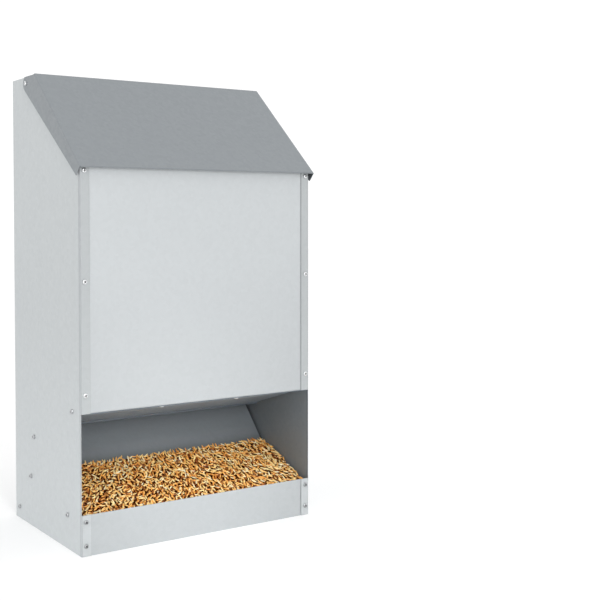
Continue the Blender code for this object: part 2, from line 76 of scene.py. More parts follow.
def textured(add, link, kind, scale, stretch=(1, 1, 1), **settings):
    """A texture node on the object coordinates, stretched by a factor on each axis."""
    mapping = add("ShaderNodeMapping", Scale=stretch)
    link(add("ShaderNodeTexCoord").outputs["Object"], mapping.inputs["Vector"])
    texture = add(kind, Scale=scale, **settings)
    link(mapping.outputs["Vector"], texture.inputs["Vector"])
    return texture


def noise(add, link, scale, detail, stretch=(1, 1, 1)):
    """The 0-1 value of a noise texture."""
    return textured(add, link, "ShaderNodeTexNoise", scale, stretch, Detail=detail).outputs["Fac"]


def flakes_of(add, link, scale):
    """A pattern of flat cells: two random 0-1 values per cell, and the distance from its middle."""
    cells = textured(add, link, "ShaderNodeTexVoronoi", scale, feature="F1")
    split = add("ShaderNodeSeparateColor")
    link(cells.outputs["Color"], split.inputs["Color"])
    return split.outputs["Red"], split.outputs["Green"], cells.outputs["Distance"]


def ramp(add, link, source, stops):
    """A colour ramp through (position, colour) stops; returns its colour."""
    node = add("ShaderNodeValToRGB")
    elements = node.color_ramp.elements
    while len(elements) < len(stops):
        elements.new(0.5)
    for element, (position, colour) in zip(elements, stops):
        element.position = position
        element.color = (*colour, 1)
    link(source, node.inputs["Fac"])
    return node.outputs["Color"]


def shade(colour, factor):
    """The colour made lighter or darker."""
    return tuple(min(1.0, c * factor) for c in colour)


def grey(level):
    """A neutral colour."""
    return (level, level, level)


def mixed(add, link, mode, factor, first, second):
    """One colour mixed into another; returns the result's socket."""
    node = add("ShaderNodeMix", data_type="RGBA", blend_type=mode)
    # The colour sockets share their names with the node's other sockets, so they are taken by place
    factor_socket, first_socket, second_socket = node.inputs[0], node.inputs[6], node.inputs[7]
    for socket, value in ((factor_socket, factor), (first_socket, first), (second_socket, second)):
        if isinstance(value, tuple):
            socket.default_value = (*value, 1)
        elif isinstance(value, (float, int)):
            socket.default_value = value
        else:
            link(value, socket)
    return node.outputs[2]


def scaled(add, link, source, low, high, start=0.0, end=1.0):
    """A value that goes from low to high as its source goes from start to end."""
    node = add("ShaderNodeMapRange")
    for socket, value in (("From Min", start), ("From Max", end), ("To Min", low), ("To Max", high)):
        node.inputs[socket].default_value = value
    link(source, node.inputs["Value"])
    return node.outputs["Result"]


def arithmetic(add, link, operation, *values):
    """A maths node on sockets and numbers; returns its value."""
    node = add("ShaderNodeMath", operation=operation)
    for socket, value in zip(node.inputs, values):
        if isinstance(value, (float, int)):
            socket.default_value = value
        else:
            link(value, socket)
    return node.outputs["Value"]


def part_of(add, link, vector, axis):
    """One axis of a vector."""
    parts = add("ShaderNodeSeparateXYZ")
    link(vector, parts.inputs["Vector"])
    return parts.outputs[axis]


def place_on(add, link, axis):
    """The object coordinate on one axis."""
    return part_of(add, link, add("ShaderNodeTexCoord").outputs["Object"], axis)


def embossed(add, link, shader, height, strength, depth):
    """Give the shader a bump from a height value."""
    bump = add("ShaderNodeBump", Strength=strength, Distance=depth)
    link(height, bump.inputs["Height"])
    link(bump.outputs["Normal"], shader.inputs["Normal"])


# ---------------------------------------------------------------- masks
# Height between the flanges beside the trough lip and those beside the front panel
WINDOW_SILL = 0.1
FLANGE_WIDTH = 0.01485
# How far behind the front edge a flange's face, its cut edge and its bend reach
FACE_DEPTH = 0.0004
EDGE_DEPTH = 0.001
CORNER_DEPTH = 0.005
# How far the bend reaches to either side of the wall's outer face
CORNER_INSIDE = 0.0018
CORNER_OUTSIDE = 0.001
SEAM_SHADOW_WIDTH = 0.005
# x times the normal's X is past these on a side wall's inner and outer faces
INWARD, OUTWARD = -0.1, 0.1
# The normal's Y is below this on faces that look forward
FORWARD = -0.6
# Heights at which a band starts and is at its full strength
LOW_WALL_LIGHT_BAND = (0.33, 0.0)
LOW_FRONT_BAND = (0.42, 0.21)
BAFFLE_PAINTED_LIGHT_BAND = (0.105, 0.160)
FEED_EDGE_SHADOW_BAND = (0.121, 0.105)


def both(add, link, first, second):
    """1 where both masks are 1."""
    return arithmetic(add, link, "MULTIPLY", first, second)


def within(add, link, axis, low, high, mirrored=False):
    """1 where the object coordinate on an axis lies from low to high, else 0; mirrored drops its sign."""
    value = place_on(add, link, axis)
    if mirrored:
        value = arithmetic(add, link, "ABSOLUTE", value)
    return arithmetic(add, link, "COMPARE", value, (low + high) / 2, (high - low) / 2)


def between_heights(add, link, band):
    """0 at the band's first height and 1 at its second, straight in between."""
    return scaled(add, link, place_on(add, link, "Z"), 0, 1, *band)


def sideways(add, link, operation, limit):
    """1 where x times the normal's X, which is above 0 on outer faces, is past a limit."""
    where = add("ShaderNodeTexCoord")
    place = part_of(add, link, where.outputs["Object"], "X")
    facing = part_of(add, link, where.outputs["Normal"], "X")
    return arithmetic(add, link, operation, both(add, link, place, facing), limit)


def inner_face_shade(add, link):
    """1 on faces that look in towards the middle of the feeder from either side, which the masks darken as
    painted shade.
    """
    return sideways(add, link, "LESS_THAN", INWARD)


def low_wall_light(add, link):
    """The outside of the side walls, growing from mid-height to the floor: painted light that makes the lower
    wall lighter.
    """
    outside = sideways(add, link, "GREATER_THAN", OUTWARD)
    return both(add, link, outside, between_heights(add, link, LOW_WALL_LIGHT_BAND))


def corner_bend_shade(add, link):
    """The bend between a side wall and its front flange, darkened as painted shade where the rounded bend
    turns away from the light.
    """
    across = within(add, link, "X", BODY_HALF - CORNER_INSIDE, BODY_HALF + CORNER_OUTSIDE, mirrored=True)
    return both(add, link, across, within(add, link, "Y", -FAR, BODY_FRONT + CORNER_DEPTH))


def front_flange(add, link):
    """The front flange of a side wall beside the front panel."""
    face = within(add, link, "Y", -FAR, BODY_FRONT + FACE_DEPTH)
    return both(add, link, face, within(add, link, "Z", WINDOW_SILL, FAR))


def low_flange(add, link):
    """The front flange of a side wall beside the trough lip."""
    face = within(add, link, "Y", -FAR, BODY_FRONT + FACE_DEPTH)
    return both(add, link, face, within(add, link, "Z", -FAR, WINDOW_SILL))


def flange_edge(add, link):
    """The cut edge of a front flange, which lies in the shadow of its seam."""
    across = within(add, link, "X", 0, BODY_HALF - FLANGE_WIDTH, mirrored=True)
    return both(add, link, across, within(add, link, "Y", -FAR, BODY_FRONT + EDGE_DEPTH))


def low_front_darkening(add, link):
    """The front panel made darker towards the window, darkest just above it."""
    return between_heights(add, link, LOW_FRONT_BAND)


def baffle_painted_light(add, link):
    """Painted light that lightens the baffle, growing up towards the throat, where it lies in the throat
    plate's shade.
    """
    return between_heights(add, link, BAFFLE_PAINTED_LIGHT_BAND)


def feed_edge_shadow(add, link):
    """A band of painted shadow across the baffle just above the feed's edge, where the feed meets it."""
    return between_heights(add, link, FEED_EDGE_SHADOW_BAND)


def seam_shadow(add, link):
    """Painted shadow down each side of a plate, in the seam where it meets the wall."""
    return within(add, link, "X", BODY_HALF - SEAM_SHADOW_WIDTH, BODY_HALF, mirrored=True)


def lip_face_shade(add, link):
    """The front of the throat plate's turned-down rear lip, which the mask darkens as painted shade."""
    facing = part_of(add, link, add("ShaderNodeNewGeometry").outputs["Normal"], "Y")
    return arithmetic(add, link, "LESS_THAN", facing, FORWARD)


# ---------------------------------------------------------------- sheet steel
SPANGLE_SCALE = 190
SHEET_METALLIC = 0.25
SHEET_ROUGHNESS = (0.42, 0.56)
GRAIN_STRETCH = (26, 26, 0.35)
GRAIN_TONES = [(0.30, (0.990, 0.990, 0.991)), (0.70, grey(1))]
CLOUD_TONES = [(0.32, (0.992, 0.993, 0.994)), (0.62, grey(1))]
DUST_COLOUR = (0.45, 0.36, 0.22)
DUST_BAND = (0.15, 0.05)


def dusty(add, link, colour, most):
    """The colour under feed dust that has settled low down, which covers at most so much of it."""
    low = scaled(add, link, place_on(add, link, "Z"), 0, most, *DUST_BAND)
    spots = noise(add, link, scale=90, detail=6)
    return mixed(add, link, "MIX", arithmetic(add, link, "MULTIPLY", low, spots), colour, DUST_COLOUR)


def sheet_steel(name, colour, spangle=0.016, dust=0.0, masks=()):
    """Zinc-coated sheet: a faint spangle, a fine rolled grain, soft handling marks and a satin sheen."""
    made, shader, add, link = new_material(name)
    # The spangle: flat crystals a few millimetres across, each a touch lighter or darker
    tone, gloss, distance = flakes_of(add, link, SPANGLE_SCALE)
    crystals = [(0.0, shade(colour, 1 - spangle)), (0.5, colour), (1.0, shade(colour, 1 + spangle))]
    toned = ramp(add, link, tone, crystals)
    # The rolled grain: very fine lines that run up the sheet
    grain = noise(add, link, scale=60, detail=4, stretch=GRAIN_STRETCH)
    toned = mixed(add, link, "MULTIPLY", 1.0, toned, ramp(add, link, grain, GRAIN_TONES))
    # Slow clouds of tone, as where a sheet has been handled and wiped
    clouds = noise(add, link, scale=7, detail=5)
    toned = mixed(add, link, "MULTIPLY", 1.0, toned, ramp(add, link, clouds, CLOUD_TONES))
    if dust:
        toned = dusty(add, link, toned, dust)
    for mask, tint in masks:
        toned = mixed(add, link, "MULTIPLY", mask(add, link), toned, tint)
    link(toned, shader.inputs["Base Color"])
    shader.inputs["Metallic"].default_value = SHEET_METALLIC
    link(scaled(add, link, gloss, *SHEET_ROUGHNESS), shader.inputs["Roughness"])
    # A skin-deep relief: grain lines and the edges of the crystals
    relief = arithmetic(add, link, "ADD", grain, distance)
    embossed(add, link, shader, relief, strength=0.10, depth=0.00006)
    return made


# ---------------------------------------------------------------- fastener materials
STAIN_SHADES = ((0.30, 0.84), (0.52, 1.0), (0.75, 1.10))
NYLON_SHADES = ((0.3, 0.93), (0.7, 1.04))
NYLON_ROUGHNESS = (0.42, 0.56)


def plated(name, colour, rough=(0.22, 0.38), metallic=0.85):
    """Plated fastener steel: fine turning marks, small stains and a bright, slightly uneven polish."""
    made, shader, add, link = new_material(name)
    stains = noise(add, link, scale=900, detail=4)
    tones = [(position, shade(colour, factor)) for position, factor in STAIN_SHADES]
    link(ramp(add, link, stains, tones), shader.inputs["Base Color"])
    shader.inputs["Metallic"].default_value = metallic
    link(scaled(add, link, stains, *rough), shader.inputs["Roughness"])
    embossed(add, link, shader, noise(add, link, scale=2500, detail=2), strength=0.15, depth=0.00003)
    return made


def nylon(name, colour):
    """Moulded nylon: waxy, slightly mottled, with a fine moulded texture."""
    made, shader, add, link = new_material(name)
    cloud = noise(add, link, scale=420, detail=4)
    tones = [(position, shade(colour, factor)) for position, factor in NYLON_SHADES]
    link(ramp(add, link, cloud, tones), shader.inputs["Base Color"])
    link(scaled(add, link, cloud, *NYLON_ROUGHNESS), shader.inputs["Roughness"])
    shader.inputs["Subsurface Weight"].default_value = 0.1
    shader.inputs["Subsurface Scale"].default_value = 0.002
    embossed(add, link, shader, cloud, strength=0.2, depth=0.00003)
    return made


# ---------------------------------------------------------------- feed materials
KERNEL_COLOURS = [(0.00, (0.760, 0.290, 0.045)), (0.22, (0.990, 0.470, 0.100)), (0.50, (1.000, 0.620, 0.190)),
                  (0.80, (1.000, 0.780, 0.360)), (1.00, (1.000, 0.930, 0.660))]
HUSK_STRETCH = (9, 1.6, 1)
HUSK_LINES = [(0.26, (0.84, 0.78, 0.70)), (0.50, grey(1))]
HUSK_ROUGHNESS = (0.20, 0.36)
TIP_TONES = [(0.00, (0.62, 0.50, 0.36)), (0.12, grey(1)), (0.90, grey(1)), (1.00, (0.74, 0.64, 0.50))]
# Painted shade for kernels that lie low in the feed
SUNK_SHADE_TONES = [(0.00, (0.24, 0.075, 0.018)), (0.32, (0.58, 0.36, 0.20)), (0.52, grey(1))]
# The meal's dark browns are painted shade for the gaps between kernels.
MEAL_SHADE_COLOURS = [(0.0, (0.045, 0.012, 0.002)), (0.7, (0.090, 0.028, 0.006)), (1.0, (0.240, 0.090, 0.022))]
MEAL_ROUGHNESS = (0.7, 0.9)
MEAL_SCALE = 420


def kernel_husk(name):
    """Dry grain: each kernel its own straw, gold or brown, with lines along the husk and darker tips."""
    made, shader, add, link = new_material(name)
    island = add("ShaderNodeNewGeometry").outputs["Random Per Island"]
    husk = ramp(add, link, island, KERNEL_COLOURS)
    # Each kernel's first UV map runs round it and along it
    along = add("ShaderNodeUVMap", uv_map="kernel").outputs["UV"]
    mapping = add("ShaderNodeMapping", Scale=HUSK_STRETCH)
    link(along, mapping.inputs["Vector"])
    texture = add("ShaderNodeTexNoise", Scale=3, Detail=3)
    link(mapping.outputs["Vector"], texture.inputs["Vector"])
    lines = texture.outputs["Fac"]
    husk = mixed(add, link, "MULTIPLY", 1.0, husk, ramp(add, link, lines, HUSK_LINES))
    tips = ramp(add, link, part_of(add, link, along, "Y"), TIP_TONES)
    husk = mixed(add, link, "MULTIPLY", 1.0, husk, tips)
    # The second holds how high the point lies in the layer: what has sunk gets painted shade, standing in for
    # the shadow among the kernels.
    lift = part_of(add, link, add("ShaderNodeUVMap", uv_map="lift").outputs["UV"], "X")
    husk = mixed(add, link, "MULTIPLY", 1.0, husk, ramp(add, link, lift, SUNK_SHADE_TONES))
    link(husk, shader.inputs["Base Color"])
    link(scaled(add, link, lines, *HUSK_ROUGHNESS), shader.inputs["Roughness"])
    shader.inputs["Specular IOR Level"].default_value = 0.8
    embossed(add, link, shader, lines, strength=0.5, depth=0.00012)
    return made


def meal(name):
    """The feed under the top kernels: broken grain and dust, painted dark brown as the shade in the gaps
    between kernels.
    """
    made, shader, add, link = new_material(name)
    tone, gloss, distance = flakes_of(add, link, MEAL_SCALE)
    link(ramp(add, link, tone, MEAL_SHADE_COLOURS), shader.inputs["Base Color"])
    link(scaled(add, link, gloss, *MEAL_ROUGHNESS), shader.inputs["Roughness"])
    shader.inputs["Specular IOR Level"].default_value = 0.1
    embossed(add, link, shader, distance, strength=0.8, depth=0.0008)
    return made


# ---------------------------------------------------------------- materials
ZINC = (0.508, 0.532, 0.544)
BODY_SHEET = sheet_steel("body_sheet", ZINC)
FRONT_SHEET = sheet_steel("front_sheet", ZINC, masks=((low_front_darkening, grey(0.88)),))
LIP_SHEET = sheet_steel("lip_sheet", (0.430, 0.452, 0.462))
# The inner-face tint darkens the walls' inner faces as painted shade.
SIDE_MASKS = ((inner_face_shade, (0.455, 0.482, 0.510)), (front_flange, grey(0.83)), (low_flange, grey(0.94)),
              # The corner tint darkens the front bend as painted shade.
              (flange_edge, grey(0.55)), (corner_bend_shade, (0.81, 0.81, 0.82)), (low_wall_light, grey(1.10)))
# The low-wall tint lightens the lower outside of the walls as painted light.
SIDE_SHEET = sheet_steel("side_sheet", (0.510, 0.536, 0.545), masks=SIDE_MASKS)
# The inner-face tint darkens the lid flanges' inner faces as painted shade.
LID_MASKS = ((inner_face_shade, (0.42, 0.42, 0.43)),)
LID_SHEET = sheet_steel("lid_sheet", (0.245, 0.265, 0.280), spangle=0.012, masks=LID_MASKS)
# The seam tint darkens the plates' sides as painted shadow in the seam with the wall.
INNER_MASKS = ((seam_shadow, (0.30, 0.30, 0.31)), (baffle_painted_light, grey(1.75)), (feed_edge_shadow, (0.64, 0.64, 0.63)))
# The inner sheets' colour is the zinc sheet darkened as painted shade inside the hopper.
SHADED_INNER_SHEET = sheet_steel("inner_sheet", (0.246, 0.270, 0.290), spangle=0.020, dust=0.12, masks=INNER_MASKS)
# The lip tint darkens the lip's forward face as painted shade.
THROAT_MASKS = ((lip_face_shade, (0.45, 0.46, 0.47)),)
# The throat sheet's colour is the zinc sheet darkened and cooled as painted shade under the front panel.
SHADED_THROAT_SHEET = sheet_steel("shaded_throat_sheet", (0.330, 0.388, 0.445), spangle=0.020, masks=THROAT_MASKS)
BRIGHT = plated("bright_zinc", (0.82, 0.83, 0.84))
MIDDLE = plated("grey_zinc", (0.48, 0.49, 0.50))
DARK = plated("dull_zinc", (0.42, 0.43, 0.44))
RECESS = plated("recess_shadow", (0.030, 0.031, 0.033), rough=(0.6, 0.8), metallic=0.2)
WASHER_WHITE = nylon("nylon", (0.78, 0.78, 0.74))
HUSK = kernel_husk("grain_husk")
MEAL = meal("grain_meal")

SHEETS = {
    "left_side_panel": SIDE_SHEET, "right_side_panel": SIDE_SHEET, "back_panel": BODY_SHEET,
    "front_panel": FRONT_SHEET, "trough_lip": LIP_SHEET, "base_panel": BODY_SHEET, "lid": LID_SHEET,
    "throat_plate": SHADED_THROAT_SHEET, "feed_baffle": SHADED_INNER_SHEET, "trough_floor": SHADED_INNER_SHEET,
}
for sheet, finish in SHEETS.items():
    for place in nodes[sheet].material_slots:
        place.material = finish


# ---------------------------------------------------------------- mesh helpers
def placed(name, mesh, material, slot):
    """An object in the scene with this mesh and one material; its slot is not used."""
    mesh.materials.append(material)
    made = bpy.data.objects.new(name, mesh)
    bpy.context.scene.collection.objects.link(made)
    return made


def finished(name, shape, material, slot, smooth_angle):
    """An object from a bmesh, which is used up, with edges that are sharp where they turn past an angle."""
    mesh = bpy.data.meshes.new(name)
    bmesh.ops.recalc_face_normals(shape, faces=shape.faces)
    shape.normal_update()
    for edge in shape.edges:
        if len(edge.link_faces) == 2 and edge.calc_face_angle(0) > smooth_angle:
            edge.smooth = False
    for face in shape.faces:
        face.smooth = True
    shape.to_mesh(mesh)
    shape.free()
    return placed(name, mesh, material, slot)


def ring(shape, radius, height, segments):
    """Corners of a circle about Z, or the one point on the axis where the radius is 0."""
    turns = [math.tau * step / segments for step in range(segments if radius > 0 else 1)]
    return [shape.verts.new((radius * math.cos(turn), radius * math.sin(turn), height)) for turn in turns]


def joined_rings(shape, lower, upper, segments):
    """Faces between two rings, either of which may be a single point."""
    for step in range(segments):
        after = (step + 1) % segments
        corners = [lower[step % len(lower)], lower[after % len(lower)],
                   upper[after % len(upper)], upper[step % len(upper)]]
        shape.faces.new(list(dict.fromkeys(corners)))


def revolved(profile, segments, closed=False):
    """A solid turned about Z from (radius, height) pairs that end on the axis or form a closed loop."""
    shape = bmesh.new()
    rings = [ring(shape, radius, height, segments) for radius, height in profile]
    following = rings[1:] + rings[:1] if closed else rings[1:]
    for lower, upper in zip(rings, following):
        joined_rings(shape, lower, upper, segments)
    return shape


def prism(levels):
    """A solid through levels of corners, which all have the same number of corners, capped at both ends."""
    shape = bmesh.new()
    rings = [[shape.verts.new(corner) for corner in level] for level in levels]
    for lower, upper in zip(rings, rings[1:]):
        joined_rings(shape, lower, upper, len(lower))
    shape.faces.new(rings[0])
    shape.faces.new(rings[-1])
    return shape


def carved(shape, cutter, operation="DIFFERENCE"):
    """One bmesh solid cut by another; both are used up."""
    pair = []
    for source in (shape, cutter):
        bmesh.ops.recalc_face_normals(source, faces=source.faces)
        mesh = bpy.data.meshes.new("carving")
        source.to_mesh(mesh)
        source.free()
        item = bpy.data.objects.new("carving", mesh)
        bpy.context.scene.collection.objects.link(item)
        pair.append(item)
    modifier = pair[0].modifiers.new("cut", "BOOLEAN")
    modifier.operation = operation
    modifier.object = pair[1]
    modifier.solver = "EXACT"
    result = bmesh.new()
    result.from_object(pair[0], bpy.context.evaluated_depsgraph_get())
    for item in pair:
        mesh = item.data
        bpy.data.objects.remove(item)
        bpy.data.meshes.remove(mesh)
    return result


# ---------------------------------------------------------------- screws
HEAD_RADIUS = 0.0035
HEAD_HEIGHT = 0.0024
# The head's outline: parts of its radius, and heights above its underside
PAN_OUTLINE = ((0.95, 0), (1, 0.00018), (1, 0.0009), (0.97, 0.0014), (0.89, 0.0018), (0.76, 0.0021),
               (0.55, 0.0023))
HEAD_SEGMENTS = 28
SHANK_RADIUS = 0.0018
# Parts of the shank's radius
THREAD_ROOT = 0.84
NECK = 0.86
BLUNT_TIP = 0.72
THREAD_PITCH = 0.0008
THREAD_START = 0.0002
NECK_LENGTH = 0.0001
POINT_RADIUS = 0.0004
POINT_TAPER = 0.0035
BLUNT_TAPER = 0.0008
RECESS_REACH = 0.00215
# The driver's cross: height, reach and half-width of a blade at each level
CROSS_LEVELS = ((0.0006, RECESS_REACH * 1.1, 0.00056), (-0.0004, RECESS_REACH, 0.00048),
                (-0.0019, 0.0005, 0.00026))
SQUARE = ((-1, -1), (1, -1), (1, 1), (-1, 1))
# The crown over the recess: its drop at the middle, as a part of the head's height, and its fall to the rim
CROWN_DIP = 0.04
CROWN_FALL = 0.0003
# A face is in the recess within so many times its reach, and this far under the crown
RECESS_MARGIN = 1.2
RECESS_SKIN = 0.00012


def cross_cutter():
    """A driver's cross: two tapered blades that narrow as they go down into the head."""
    blades = []
    for turn in (0, math.pi / 2):
        blade = prism([[(x * reach, y * half, height) for x, y in SQUARE]
                       for height, reach, half in CROSS_LEVELS])
        blade.transform(Matrix.Rotation(turn, 4, "Z"))
        blades.append(blade)
    return carved(*blades, "UNION")


def screw_shape(length, pointed):
    """A pan-head screw with a cross recess and a thread. The crown is at 0 and the tip at -length."""
    under = -HEAD_HEIGHT
    end = -length
    taper = POINT_TAPER if pointed else BLUNT_TAPER
    tip_radius = POINT_RADIUS if pointed else SHANK_RADIUS * BLUNT_TIP
    outline = [(0, end), (tip_radius, end)]
    height = end + THREAD_START
    while height < under - THREAD_PITCH:
        reach = min(1.0, tip_radius / SHANK_RADIUS + (height - end) / taper)
        outline.append((SHANK_RADIUS * THREAD_ROOT * reach, height))
        outline.append((SHANK_RADIUS * reach, height + THREAD_PITCH / 2))
        height += THREAD_PITCH
    outline += [(SHANK_RADIUS * NECK, under - NECK_LENGTH), (SHANK_RADIUS * NECK, under)]
    outline += [(HEAD_RADIUS * part, under + rise) for part, rise in PAN_OUTLINE]
    return carved(revolved(outline + [(0, 0)], HEAD_SEGMENTS), cross_cutter())


def darken_recess(shape):
    """Give the faces inside the driver's cross the second material."""
    shape.normal_update()
    for face in shape.faces:
        centre = face.calc_center_median()
        reach = math.hypot(centre.x, centre.y)
        crown = -HEAD_HEIGHT * CROWN_DIP - (reach / HEAD_RADIUS) ** 2 * CROWN_FALL
        if reach < RECESS_REACH * RECESS_MARGIN and crown - RECESS_SKIN > centre.z > -HEAD_HEIGHT:
            face.material_index = 1


# ---------------------------------------------------------------- nuts and spacers
NUT_ACROSS = 0.0064
NUT_BORE = 0.0019
NUT_SIDES = 6
NUT_SEGMENTS = 30
BORE_SEGMENTS = 28
# The bevel starts and ends at these parts of the radius to the flats and to the corners, and drops by a part
# of the difference between them
BEVEL_START = 0.97
BEVEL_END = 1.01
BEVEL_DROP = 0.6
# Parts of the bore's radius
BORE_MOUTH = 1.22
BORE_GROOVE = 1.07
BORE_PITCH = 0.0006
COUNTERSINK = 0.0004
MOUTH_EDGE = 0.0001
OVERSHOOT = 0.001
SPACER_RADIUS = 0.0046
SPACER_BORE = 0.0021
SPACER_BEVEL = 0.00035
SPACER_SEGMENTS = 40


def nut_bore(height):
    """The cutter for a nut's threaded bore, with a countersink at each end."""
    mouth = NUT_BORE * BORE_MOUTH
    outline = [(0, -OVERSHOOT), (mouth, -OVERSHOOT), (mouth, -MOUTH_EDGE), (NUT_BORE, COUNTERSINK)]
    level = COUNTERSINK
    while level < height - 2 * COUNTERSINK:
        outline += [(NUT_BORE * BORE_GROOVE, level + BORE_PITCH / 2), (NUT_BORE, level + BORE_PITCH)]
        level += BORE_PITCH
    outline += [(mouth, height + MOUTH_EDGE), (mouth, height + OVERSHOOT), (0, height + OVERSHOOT)]
    return revolved(outline, BORE_SEGMENTS)


def nut_shape(height):
    """A hexagon nut about Z from 0 to height: bevelled corners and a threaded bore."""
    flat = NUT_ACROSS / 2
    corner = flat / math.cos(math.pi / NUT_SIDES)
    turns = [math.tau * step / NUT_SIDES + math.pi / NUT_SIDES for step in range(NUT_SIDES)]
    blank = prism([[(corner * math.cos(turn), corner * math.sin(turn), level) for turn in turns]
                   for level in (0, height)])
    drop = (corner - flat) * BEVEL_DROP
    face, rim = flat * BEVEL_START, corner * BEVEL_END
    outline = [(0, 0), (face, 0), (rim, drop), (rim, height - drop), (face, height), (0, height)]
    blank = carved(blank, revolved(outline, NUT_SEGMENTS), "INTERSECT")
    return carved(blank, nut_bore(height))


def spacer_shape(height):
    """A turned nylon spacer about Z from 0 to height, with small bevels inside and out."""
    inner, outer, bevel = SPACER_BORE, SPACER_RADIUS, SPACER_BEVEL
    outline = [(inner + bevel, 0), (outer - bevel, 0), (outer, bevel), (outer, height - bevel),
               (outer - bevel, height), (inner + bevel, height), (inner, height - bevel), (inner, bevel)]
    return revolved(outline, SPACER_SEGMENTS, closed=True)


# ---------------------------------------------------------------- fasteners
SIDE_SCREWS = ("throat_side", "baffle_side", "floor_", "base_")
FASTENER_SMOOTH = math.radians(32)


def outward_of(name):
    """Which way a fastener's head faces."""
    if name.startswith(("panel_", "lip_")):
        return Vector((0, -1, 0))
    if name.startswith("back_"):
        return Vector((0, 1, 0))
    if name.startswith(("throat_screw", "throat_nut")):
        return Vector((0, 0, -1))
    return Vector((-1 if "_left" in name else 1, 0, 0))


def span(name, outward):
    """Centre of a fastener's outer end, and its length, from its CAD box."""
    low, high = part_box(name)
    centre = (low + high) / 2
    axis = max(range(3), key=lambda k: abs(outward[k]))
    length = high[axis] - low[axis]
    return centre + outward * length / 2, length


def screw_finish(name):
    """A screw's material and colour slot."""
    if name.startswith("lip_"):
        return DARK, "dark_zinc"
    if name.startswith(SIDE_SCREWS):
        return MIDDLE, "dark_zinc"
    return BRIGHT, "zinc"


def set_fastener(name):
    """Put the detailed fastener where its CAD node is."""
    outward = outward_of(name)
    top, length = span(name, outward)
    place = Matrix.Translation(top) @ outward.to_track_quat("Z", "Y").to_matrix().to_4x4()
    if "_screw_" in name:
        shape = screw_shape(length, pointed=name.startswith(("back_", *SIDE_SCREWS)))
        darken_recess(shape)
        material, slot = screw_finish(name)
        place @= Matrix.Rotation(rng.uniform(0, math.pi), 4, "Z")
    else:
        # Nuts and spacers are shaped from their inner end up
        place @= Matrix.Translation((0, 0, -length))
        if "_nut_" in name:
            shape, material, slot = nut_shape(length), BRIGHT, "zinc"
        else:
            shape, material, slot = spacer_shape(length), WASHER_WHITE, "nylon"
    shape.transform(place)
    made = finished(name + "_detail", shape, material, slot, FASTENER_SMOOTH)
    if "_screw_" in name:
        made.data.materials.append(RECESS)
    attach(made, "housing")
    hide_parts(name)


for fastener in sorted(nodes):
    if "_screw_" in fastener or "_nut_" in fastener or "_spacer_" in fastener:
        set_fastener(fastener)


# ---------------------------------------------------------------- the feed's surface
NEAR = 0.0005
DECIMALS = 5
# The baffle's foot is farther back than this from the feed's front, and this far under its back edge
FLOOR_END = 0.05
BELOW_BACK = 0.01
# Heights of the mounds and ripples, and their waves per metre in radians
MOUND_HEIGHT, MOUND_X, MOUND_START, MOUND_Y, MOUND_SKEW = 0.0022, 31, 0.7, 44, 9
RIPPLE_HEIGHT, RIPPLE_X, RIPPLE_Y = 0.0012, 83, 61
SWELL_HEIGHT = 0.0022
EDGE_FADE = 4


def unit(value):
    """The value kept from 0 to 1."""
    return max(0.0, min(1.0, value))


def feed_top():
    """Front and back of the feed's top face, as (y, z), from its CAD node."""
    points = [(v.co.y, v.co.z) for v in nodes["feed_grain"].data.vertices]
    front_y = min(y for y, z in points)
    front_z = max(z for y, z in points if y < front_y + NEAR)
    return (front_y, front_z), max(points, key=lambda p: p[1])


def baffle_foot():
    """Where the baffle meets the trough's floor, as (y, z), from the feed that rests on them."""
    points = {(round(v.co.y, DECIMALS), round(v.co.z, DECIMALS)) for v in nodes["feed_grain"].data.vertices}
    under = [p for p in points if p[0] > FEED_FRONT[0] + FLOOR_END and p[1] < FEED_BACK[1] - BELOW_BACK]
    return max(sorted(under), key=sum)


def rise_between(low, high):
    """Rise per metre between two (y, z) points."""
    return (high[1] - low[1]) / (high[0] - low[0])


FEED_FRONT, FEED_BACK = feed_top()
BAFFLE_FOOT = baffle_foot()
SURFACE_RISE = rise_between(FEED_FRONT, FEED_BACK)
BAFFLE_RISE = rise_between(BAFFLE_FOOT, FEED_BACK)


def bed_height(x, y):
    """Top of the feed at (x, y): a plane from the lip to the baffle, with low, uneven mounds."""
    run = (y - FEED_FRONT[0]) / (FEED_BACK[0] - FEED_FRONT[0])
    fade = unit(run * EDGE_FADE) * unit((1 - run) * EDGE_FADE)
    mounds = MOUND_HEIGHT * math.sin(x * MOUND_X + MOUND_START) * math.cos(y * MOUND_Y + x * MOUND_SKEW)
    ripples = RIPPLE_HEIGHT * math.sin(x * RIPPLE_X + y * RIPPLE_Y)
    swell = SWELL_HEIGHT * math.sin(math.pi * unit(run))
    return FEED_FRONT[1] + SURFACE_RISE * (y - FEED_FRONT[0]) + (mounds + ripples + swell) * fade


def baffle_height(y):
    """Height of the baffle's upper face at y."""
    return BAFFLE_FOOT[1] + BAFFLE_RISE * (y - BAFFLE_FOOT[0])


# ---------------------------------------------------------------- the feed's bed
# Half the width between the walls
WALL = 0.1985
BED_COLUMNS, BED_ROWS = 110, 44
# Gaps to the walls, behind the back edge and over the baffle
BED_GAP = 0.0008
BED_BACK_GAP = 0.004
BAFFLE_SKIN = 0.0004
# How far the bed lies under the feed's surface, give or take its unevenness
BED_DEPTH = 0.0045
BED_ROUGHNESS = 0.0004
BED_SMOOTH = math.radians(60)


